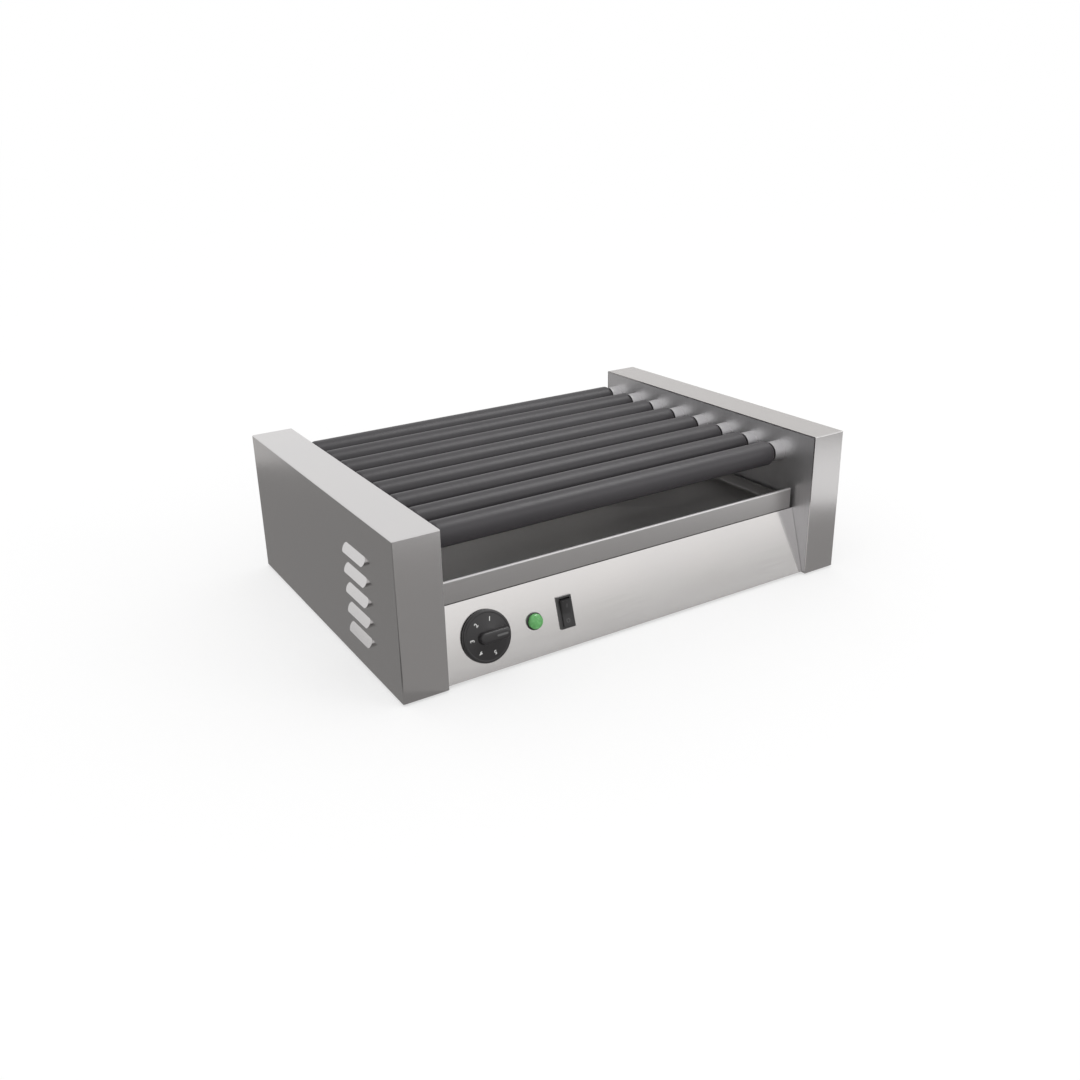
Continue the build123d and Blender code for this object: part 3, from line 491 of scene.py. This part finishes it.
def make_materials():
    return {
        "cover": brushed_steel("cover_steel", (0.625, 0.61, 0.607), "y", 0.19),
        # A lighter, smoother copy of the housing steel: painted light that brightens the front and rear panels.
        "panel": brushed_steel("panel_steel_painted_bright", (0.79, 0.775, 0.77), "x", 0.12),
        "inner": brushed_steel("inner_steel", (0.60, 0.59, 0.595), "z", 0.40, 0.10, 0.05, 0.10),
        # The pan's copy of the tray steel is darker than the lip's: painted shade for the pan lying under the
        # rollers.
        "tray": brushed_steel("tray_steel", (0.375, 0.365, 0.358), "x", 0.32, 0.10, 0.05, 0.06),
        "lip": brushed_steel("lip_steel", (0.55, 0.536, 0.532), "x", 0.34, 0.06),
        "coating": coated_black("roller_coating"),
        "journal": turned_steel("journal_steel", (0.55, 0.55, 0.56)),
        "bush": brushed_steel("bush_steel", (0.74, 0.735, 0.74), "x", 0.28, 0.05),
        "zinc": turned_steel("zinc_steel", (0.56, 0.57, 0.60), 0.32),
        "chain": turned_steel("chain_steel", (0.20, 0.19, 0.18), 0.35),
        "sheath": turned_steel("heater_sheath", (0.30, 0.28, 0.26), 0.45),
        "ceramic": moulded("glazed_ceramic", (0.80, 0.77, 0.70), 0.22, 0.03),
        "motor": moulded("motor_enamel", (0.06, 0.06, 0.065), 0.38, 0.06),
        "knob": moulded("knob_phenolic", (0.020, 0.0185, 0.0195), 0.30, 0.05),
        "switch": moulded("switch_nylon", (0.026, 0.025, 0.026), 0.30, 0.05),
        "lens": green_lens("green_lens"),
        "rubber": moulded("foot_rubber", (0.03, 0.03, 0.03), 0.75, 0.2),
        "screw": turned_steel("screw_steel", (0.60, 0.60, 0.62), 0.22),
        "nylon": moulded("gland_nylon", (0.028, 0.028, 0.03), 0.5, 0.1),
        "block": moulded("block_plastic", (0.70, 0.69, 0.64), 0.5, 0.05),
        "print": moulded("white_print", (0.62, 0.62, 0.61), 0.5, 0.03, 900),
        "inlay": moulded("grey_inlay", (0.10, 0.10, 0.10), 0.42, 0.03, 900),
    }


SLOT_MATERIAL = {
    "housing_steel": "cover", "plate_steel": "inner", "tray_steel": "tray", "roller_coating": "coating",
    "journal_steel": "journal", "bush_steel": "bush", "zinc_steel": "zinc", "chain_steel": "chain",
    "heater_sheath": "sheath", "ceramic": "ceramic", "motor_paint": "motor", "knob_black": "knob",
    "switch_black": "switch", "lens_green": "lens", "bezel_black": "switch", "rubber_black": "rubber",
    "screw_steel": "screw", "gland_nylon": "nylon", "block_plastic": "block",
}


def paint_nodes(materials):
    """Gives every carried-over CAD node the material of its slot."""
    slots = {part["node"]: part["material_slot"] for part in record["subparts"]}
    for name, node in nodes.items():
        node.data.materials.clear()
        node.data.materials.append(materials[SLOT_MATERIAL[slots[name]]])
    # The front and rear panels swap their slot's steel for the lighter panel copy, which is painted light.
    for name in ("front_fascia", "rear_panel"):
        nodes[name].data.materials[0] = materials["panel"]


def soften(node, width):
    """Rounds the edges of a CAD node that are sharper than 40 degrees; width in mm."""
    bevel = node.modifiers.new("soft_edges", "BEVEL")
    bevel.width = width * MM
    bevel.segments = 3
    bevel.limit_method = "ANGLE"
    bevel.angle_limit = math.radians(40)
    bevel.harden_normals = True


# Width of each node's rounded edges in mm.
EDGE_ROUNDING = {
    "left_bushings": 0.8, "right_bushings": 0.8, "rocker_switch_housing": 0.45, "feet": 0.5,
    "terminal_block": 0.4, "tray_runners": 0.3,
}

# ------------------------------------------------------------ detailed pieces
knob_joint = joints["thermostat_turn"]
PANEL_OUT = -Vector(knob_joint["axis"]).normalized()
PANEL_RIGHT = Vector((1, 0, 0))


def panel_place(x):
    """Frame on the sloping panel's face at the controls' height, with local Y up the slope."""
    point = Vector(knob_joint["pos_m"])
    foot = Vector(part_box("front_fascia")[0])
    point -= PANEL_OUT * (point - foot).dot(PANEL_OUT)
    point.x = x
    return facing(point, PANEL_OUT, PANEL_RIGHT)


# Knob sizes in mm: radii from its axis, heights from the panel's face.
SKIRT_RADIUS = 23.9
RIB_COUNT = 60
DIAL_EDGE = 21.6
DIAL_RIM = DIAL_EDGE - 0.5
DIAL_LOW = 3.9
DIAL_HUB = 8.0
DIAL_HIGH = 5.9
DIAL_SLOPE = math.atan2(DIAL_HIGH - DIAL_LOW, DIAL_RIM - DIAL_HUB)
GRIP_LENGTH = 33.0
GRIP_WIDTH = 12.4
GRIP_SHIFT = 5.2
GRIP_TOP = 10.9
NUMBER_RADIUS = 15.6
NUMBER_SIZE = 5.4
NUMBER_ANGLES = (74, 127, 180, 233, 286)


def knob_place():
    """Frame on the panel's face at the knob's axis."""
    return panel_place(knob_joint["pos_m"][0])


def add_skirt(work, place):
    """Turned skirt with a coned dial face."""
    lathe(work, place, [
        (9.0, 2.2, 0), (12.2, 2.2, 0), (12.2, 0.8, 0.2), (SKIRT_RADIUS, 0.8, 0.4),
        (SKIRT_RADIUS - 0.2, 2.6, 0), (SKIRT_RADIUS - 0.6, 3.9, 1.1),
        (DIAL_EDGE, DIAL_LOW + 0.3, 0.4), (DIAL_RIM, DIAL_LOW, 0.3),
        (DIAL_HUB, DIAL_HIGH, 2.0), (6.0, DIAL_HIGH + 0.2, 0),
    ], steps=96)


def add_grip(work, place):
    """Finger bar that reaches past the middle, narrower and shorter towards its top."""
    sections = (
        (GRIP_WIDTH, DIAL_LOW + 0.2, 5.0), (11.4, DIAL_LOW + 1.2, 5.0), (10.6, 7.0, 4.9),
        (10.0, 8.8, 4.6), (9.5, 9.9, 4.4), (8.6, 10.5, 4.0),
        (7.2, GRIP_TOP - 0.1, 3.4), (4.6, GRIP_TOP, 2.2),
    )
    loops = []
    for width, height, corner in sections:
        length = GRIP_LENGTH - (GRIP_WIDTH - width) * 1.3
        loops.append(block_loop(place, (length, width), corner, height, (GRIP_SHIFT, 0), steps=8))
    skin(work, loops)


def add_ribs(work, place):
    """Small upright ribs round the edge of the skirt."""
    sections = (((1.0, 1.2), 1.1), ((1.05, 1.2), 2.0), ((0.7, 0.9), 2.9))
    for step in range(RIB_COUNT):
        turn = Matrix.Rotation(2 * math.pi * step / RIB_COUNT, 4, "Z")
        rib = place @ turn @ Matrix.Translation(((SKIRT_RADIUS - 0.5) * MM, 0, 0))
        skin(work, [block_loop(rib, size, 0.2, height, steps=2) for size, height in sections])


def build_knob(work):
    place = knob_place()
    add_skirt(work, place)
    add_grip(work, place)
    add_ribs(work, place)


def build_pointer(work):
    """Grey line let into the top of the grip, towards its indicating end."""
    place = knob_place()
    heights = (GRIP_TOP - 0.9, GRIP_TOP + 0.02)
    skin(work, [block_loop(place, (11.0, 1.8), 0.8, height, (11.5, 0)) for height in heights])


def add_dial_numbers(material):
    """Numbers printed round the dial, each upright towards its rim."""
    place = knob_place()
    height = (DIAL_LOW + (DIAL_RIM - NUMBER_RADIUS) * math.tan(DIAL_SLOPE)) * MM
    work = bmesh.new()
    for number, degrees in enumerate(NUMBER_ANGLES, start=1):
        text = bpy.data.curves.new("numeral", "FONT")
        text.body = str(number)
        text.size = NUMBER_SIZE * MM
        text.align_x = "CENTER"
        text.align_y = "CENTER"
        text.extrude = 0.06 * MM
        text.offset = 0.12 * MM
        holder = bpy.data.objects.new("numeral", text)
        mesh = bpy.data.meshes.new_from_object(holder)
        angle = math.radians(degrees)
        spot = Vector((math.cos(angle), math.sin(angle), 0)) * (NUMBER_RADIUS * MM)
        spot.z = height
        turned = Matrix.Rotation(angle - math.pi / 2, 4, "Z") @ Matrix.Rotation(-DIAL_SLOPE, 4, "X")
        mesh.transform(place @ Matrix.Translation(spot) @ turned)
        work.from_mesh(mesh)
        bpy.data.objects.remove(holder)
        bpy.data.curves.remove(text)
        bpy.data.meshes.remove(mesh)
    bmesh.ops.remove_doubles(work, verts=work.verts, dist=1e-6)
    mesh = bpy.data.meshes.new("dial_numbers")
    work.to_mesh(mesh)
    work.free()
    mesh.materials.append(material)
    piece = bpy.data.objects.new("dial_numbers", mesh)
    bpy.context.scene.collection.objects.link(piece)
    finish_piece(piece, "knob")


def build_lamp_body(work):
    """Round bezel, with the barrel that goes through the panel."""
    place = panel_place(middle_of("pilot_lamp_body").x)
    lathe(work, place, [
        (2.0, -21.9, 0), (5.9, -21.9, 0.6), (5.9, -0.01, 0), (8.15, -0.01, 0), (8.15, 1.45, 0.7),
        (7.3, 1.45, 0.25), (7.2, 0.9, 0), (2.0, 0.9, 0),
    ])


def build_lens(work):
    """Low dome with three raised rings."""
    place = panel_place(middle_of("pilot_lamp_lens").x)
    corners = [(1.0, 1.0, 0), (7.0, 1.0, 0.1), (7.0, 4.0, 1.6)]
    for radius, height in ((5.2, 5.4), (3.6, 6.1), (2.0, 6.4)):
        corners += [(radius + 0.25, height, 0.1), (radius, height - 0.12, 0), (radius - 0.2, height, 0.1)]
    corners.append((0.6, 6.45, 0))
    lathe(work, place, corners)


# Rocker sizes in mm. Heights are from its pivot, which lies behind the panel's face.
ROCKER_HALF = 12.1
ROCKER_WIDTH = 10.5
ROCKER_MIDDLE = 4.2
ROCKER_CROWN = 1.7
ROCKER_FOOT = -1.4
ROCKER_TILT = math.radians(8)
PIVOT_DEPTH = -1.0
PIN_RADIUS = 1.15
PIN_REACH = 5.85
MARK_LOW = -0.2
MARK_HIGH = 0.06


def rocker_place():
    """Frame at the rocker's pivot, tilted with it, local X to the right and Y up the slope."""
    place = panel_place(middle_of("rocker").x)
    return place @ Matrix.Translation((0, 0, PIVOT_DEPTH * MM)) @ Matrix.Rotation(ROCKER_TILT, 4, "X")


def rocker_top(along):
    """Height of the finger surface, dished at the middle and crowned at the ends."""
    share = abs(along) / ROCKER_HALF
    return ROCKER_MIDDLE + ROCKER_CROWN * share ** 1.25


def build_rocker(work):
    """Rocker with eased edges, on a pin that reaches into the housing."""
    place = rocker_place()
    steps = [ROCKER_HALF * k / 12 for k in range(-12, 13)]
    side = ROCKER_WIDTH / 2
    right_edge = [(side - 0.45, 0.0), (side - 0.15, 0.2), (side, 0.55)]
    left_edge = [(-x, drop) for x, drop in reversed(right_edge)]
    loops = []
    for x, drop in left_edge + right_edge:
        foot_end = ROCKER_HALF - drop * 0.5
        outline = [(-foot_end, ROCKER_FOOT), (foot_end, ROCKER_FOOT)]
        outline += [(y * (1 - drop * 0.04), rocker_top(y) - drop) for y in reversed(steps)]
        loops.append([place @ (Vector((x, y, z)) * MM) for y, z in outline])
    skin(work, loops)
    rim = [(PIN_RADIUS * math.cos(a), PIN_RADIUS * math.sin(a)) for a in round_turns(24)]
    skin(work, [[place @ (Vector((x, y, z)) * MM) for y, z in rim] for x in (-PIN_REACH, PIN_REACH)])


def build_rocker_marks(work):
    """The usual bar and ring that show on and off."""
    place = rocker_place()
    for middle, ring in ((7.2, False), (-7.2, True)):
        slope = math.atan2(rocker_top(abs(middle) + 0.5) - rocker_top(abs(middle) - 0.5), 1.0)
        slope = math.copysign(slope, middle)
        spot = place @ Matrix.Translation(Vector((0, middle, rocker_top(middle))) * MM)
        spot = spot @ Matrix.Rotation(slope, 4, "X")
        if ring:
            outer, inner = 1.9, 1.4
            section = [(outer, MARK_LOW, 0), (outer, MARK_HIGH, 0)]
            section += [(inner, MARK_HIGH, 0), (inner, MARK_LOW, 0)]
            lathe(work, spot, section, 32, joined=True)
        else:
            heights = (MARK_LOW, MARK_HIGH)
            skin(work, [block_loop(spot, (0.55, 3.8), 0.2, height, steps=2) for height in heights])


# Cross recess: reach and half width of one arm, in head radii.
SCREW_ARM = 0.46
SCREW_ARM_WIDTH = 0.13


def screw_angles():
    """Directions round a screw head that include the corners of its cross recess."""
    tip = math.atan2(SCREW_ARM_WIDTH, SCREW_ARM)
    between = (tip + math.pi / 4) / 2
    quarter = (-tip, 0, tip, between, math.pi / 4, math.pi / 2 - between)
    return [turn * math.pi / 2 + a for turn in range(4) for a in quarter]


def cross_reach(angle):
    """Radius of the cross outline in one direction, in head radii."""
    inside = abs((angle + math.pi / 4) % (math.pi / 2) - math.pi / 4)
    tip = math.atan2(SCREW_ARM_WIDTH, SCREW_ARM)
    return SCREW_ARM / math.cos(inside) if inside <= tip + 1e-6 else SCREW_ARM_WIDTH / math.sin(inside)


def screw(work, place, head_radius, head_height, head_base, shank_radius, shank_length, flat=False):
    """Cross-recessed screw; local Z points out of the head and head_base is its underside, in mm."""
    angles = screw_angles()
    top = head_base + head_height
    tip = head_base - shank_length
    depth = min(1.6, head_height)

    def ring(radius, height):
        return ring_loop(place, angles, radius, height)

    def cross(share, height):
        points = []
        for a in angles:
            reach = head_radius * share * cross_reach(a)
            points.append(place @ (Vector((reach * math.cos(a), reach * math.sin(a), height)) * MM))
        return points

    loops = [ring(shank_radius * 0.6, tip), ring(shank_radius, tip + 0.6), ring(shank_radius, head_base)]
    if flat:
        loops += [ring(head_radius, top - 0.25), ring(head_radius, top - 0.08)]
        loops += [ring(head_radius - 0.1, top), ring(head_radius * 0.62, top)]
    else:
        loops.append(ring(head_radius, head_base))
        for share in (0.25, 0.5, 0.72, 0.88, 0.97):
            bend = share * math.pi / 2
            radius = head_radius * (0.55 + 0.45 * math.cos(bend))
            loops.append(ring(radius, head_base + head_height * math.sin(bend)))
    loops += [cross(1.0, top), cross(0.85, top - 0.75 * depth), cross(0.3, top - 0.9 * depth)]
    skin(work, loops)


def build_cover_screws(work):
    """Countersunk screws through the backs of both covers."""
    low, high = (Vector(corner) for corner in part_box("cover_screws"))
    head = 2.6
    height = 1.2
    for x in (low.x + head * MM, high.x - head * MM):
        for z in (low.z + head * MM, high.z - head * MM):
            place = facing(Vector((x, high.y, z)), (0, 1, 0), (-1, 0, 0))
            screw(work, place, head, height, -height, 1.5, 6.8, flat=True)


def build_underside_screws(node):
    """Returns a build for four pan-headed screws whose heads face down."""
    head = 3.2
    height = 1.6

    def build(work):
        low, high = (Vector(corner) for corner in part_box(node))
        for x in (low.x + head * MM, high.x - head * MM):
            for y in (low.y + head * MM, high.y - head * MM):
                place = facing(Vector((x, y, low.z)), (0, 0, -1), (1, 0, 0))
                screw(work, place, head, height, -height, 1.9, 6.0)

    return build


# Gland radii in mm; the hexagon's is to the middle of a flat.
GLAND_BORE = 4.25
GLAND_THREAD = 7.95
GLAND_FLAT = 9.95
GLAND_RIB = 0.45


def build_gland(work):
    """Hexagon base, ribbed clamping cap and a bore that goes right through."""
    middle = middle_of("cable_gland")
    back = Vector(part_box("rear_panel")[1]).y
    place = facing(Vector((middle.x, back, middle.z)), (0, 1, 0), (-1, 0, 0))

    def loop(height, radius, hexagon=False, ribbed=False):
        points = []
        for k, angle in enumerate(round_turns(96)):
            reach = radius
            if hexagon:
                off_flat = (angle + math.pi / 6) % (math.pi / 3) - math.pi / 6
                reach = min(radius, GLAND_FLAT / math.cos(off_flat))
            if ribbed and k % 4 < 2:
                reach -= GLAND_RIB
            points.append(place @ (Vector((reach * math.cos(angle), reach * math.sin(angle), height)) * MM))
        return points

    thread = [loop(-8.9, GLAND_BORE), loop(-8.9, 7.6), loop(-8.5, GLAND_THREAD), loop(0.0, GLAND_THREAD)]
    sides = ((0.0, 10.4), (0.6, 11.5), (4.2, 11.5), (4.9, 10.2))
    base = [loop(height, radius, hexagon=True) for height, radius in sides]
    neck = [loop(4.95, 8.8), loop(5.6, 8.8), loop(5.6, 9.4)]
    ribs = [loop(6.0, 9.45, ribbed=True), loop(14.0, 9.0, ribbed=True)]
    dome = [loop(14.6, 8.7), loop(16.8, 8.0), loop(18.2, 6.9), loop(18.9, 5.6), loop(18.9, 4.9)]
    skin(work, thread + base + neck + ribs + dome + [loop(18.3, GLAND_BORE)], joined=True)


# Tray sizes in mm. The pan stands a little behind the lip's front face.
TRAY_SHEET = 1.2
TRAY_WALL = 12.0
TRAY_BEND = 2.4
PAN_SETBACK = 0.6
HEM_RADIUS = 1.9


def build_drip_tray(work):
    """Pressed pan with rounded corners."""
    low, high = (Vector(corner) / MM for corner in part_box("drip_tray"))
    centre = ((low.x + high.x) / 2, (low.y + PAN_SETBACK + high.y) / 2)
    size = Vector((high.x - low.x, high.y - low.y - PAN_SETBACK))
    # Each section is an inset from the outside, a height and a corner radius.
    outside = (
        (TRAY_BEND, 0.0, 5.6), (TRAY_BEND * 0.45, 0.35, 6.8), (0.2, 1.1, 7.6), (0.0, TRAY_BEND, 8.0),
    )
    rim = (
        (0.0, TRAY_WALL - 0.3, 8.0), (0.3, TRAY_WALL, 7.7),
        (TRAY_SHEET - 0.3, TRAY_WALL, 7.1), (TRAY_SHEET, TRAY_WALL - 0.3, 6.8),
    )
    inside = (
        (TRAY_SHEET, TRAY_SHEET + 1.6, 6.8), (TRAY_SHEET + 0.5, TRAY_SHEET + 0.5, 6.3),
        (TRAY_SHEET + 1.6, TRAY_SHEET, 5.2),
    )
    flat = Matrix.Identity(4)
    loops = []
    for inset, height, corner in outside + rim + inside:
        extent = (size.x - 2 * inset, size.y - 2 * inset)
        loops.append(block_loop(flat, extent, corner, low.z + height, centre, steps=6))
    skin(work, loops)


def build_tray_lip(work):
    """Tall front wall of the tray, ending in a rolled hem."""
    low, high = (Vector(corner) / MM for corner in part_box("drip_tray"))
    face = low.y
    back = face + TRAY_SHEET
    hem_y = face + HEM_RADIUS
    hem_z = high.z - HEM_RADIUS
    outline = [(back, low.z), (face + 0.15, low.z), (face, low.z + 0.15)]
    for degrees in range(-4, 262, 14):
        a = math.radians(degrees)
        outline.append((hem_y - HEM_RADIUS * math.cos(a), hem_z + HEM_RADIUS * math.sin(a)))
    outline += [(back + 0.12, hem_z - HEM_RADIUS * 0.8), (back, hem_z - HEM_RADIUS - 0.6)]
    ends = (low.x, low.x + 0.25, high.x - 0.25, high.x)
    skin(work, [[Vector((x, y, z)) * MM for y, z in outline] for x in ends])


def add_pieces(paints):
    """Each row is a piece's name, build, body, slot and material, and the nodes it replaces."""
    for name, build, body, slot, paint, replaced in (
        ("control_knob", build_knob, "knob", "knob_black", "knob", ("thermostat_knob",)),
        ("knob_pointer", build_pointer, "knob", "knob_black", "inlay", ()),
        ("lamp_body", build_lamp_body, "base", "bezel_black", "switch", ("pilot_lamp_body",)),
        ("lamp_lens", build_lens, "base", "lens_green", "lens", ("pilot_lamp_lens",)),
        ("rocker_cap", build_rocker, "switch_rocker", "switch_black", "switch", ("rocker",)),
        ("rocker_marks", build_rocker_marks, "switch_rocker", "switch_black", "inlay", ()),
        ("cover_screw_set", build_cover_screws, "base", "screw_steel", "screw", ("cover_screws",)),
        ("base_screw_set", build_underside_screws("base_screws"), "base", "screw_steel", "screw",
         ("base_screws",)),
        ("foot_screw_set", build_underside_screws("foot_screws"), "base", "screw_steel", "screw",
         ("foot_screws",)),
        ("ribbed_gland", build_gland, "base", "gland_nylon", "nylon", ("cable_gland",)),
        # The pan takes the darker tray paint, which is painted shade under the rollers; the lip takes the lighter
        # copy.
        ("grease_tray", build_drip_tray, "tray", "tray_steel", "tray", ("drip_tray",)),
        ("grease_tray_lip", build_tray_lip, "tray", "tray_steel", "lip", ()),
    ):
        finish_piece(mesh_object(name, build, paints[paint]), body, replaced)
    add_dial_numbers(paints["print"])


add_camera()
add_studio()
paints = make_materials()
paint_nodes(paints)
for name, width in EDGE_ROUNDING.items():
    soften(nodes[name], width)
add_pieces(paints)
# What the overhead light does not reach.
OFF_OVERHEAD = (
    "left_cover", "right_cover", "front_fascia", "rear_panel", "left_inner_plate", "right_inner_plate",
    "left_bushings", "right_bushings", "grease_tray_lip", "floor",
)
spare("overhead", OFF_OVERHEAD)
